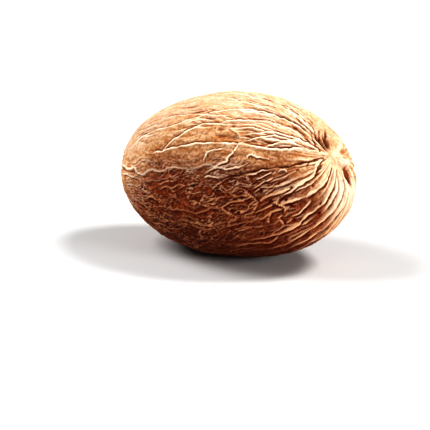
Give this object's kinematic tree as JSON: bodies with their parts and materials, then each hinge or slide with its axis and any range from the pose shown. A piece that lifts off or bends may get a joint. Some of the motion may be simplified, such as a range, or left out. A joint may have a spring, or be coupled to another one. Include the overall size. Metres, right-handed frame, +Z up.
{
  "type": "whole nutmeg",
  "caption": "Whole dried nutmeg kernel, a blunt oval with long wavy creases that gather at a pale off-centre scar, lying on its side.",
  "frame": {"origin": "on the surface the nutmeg rests on, under the middle of its box", "axes": "+X along the length, towards the end with the scar; +Z up; -Y is the side that faces the front"},
  "size_m": [0.0288, 0.0184, 0.0184],
  "materials": {
    "nutmeg_skin": "dry, dull satin skin, tan with paler crests and darker brown creases"
  },
  "bodies": {
    "root": {"nutmeg": "nutmeg_skin"}
  },
  "joints": []
}
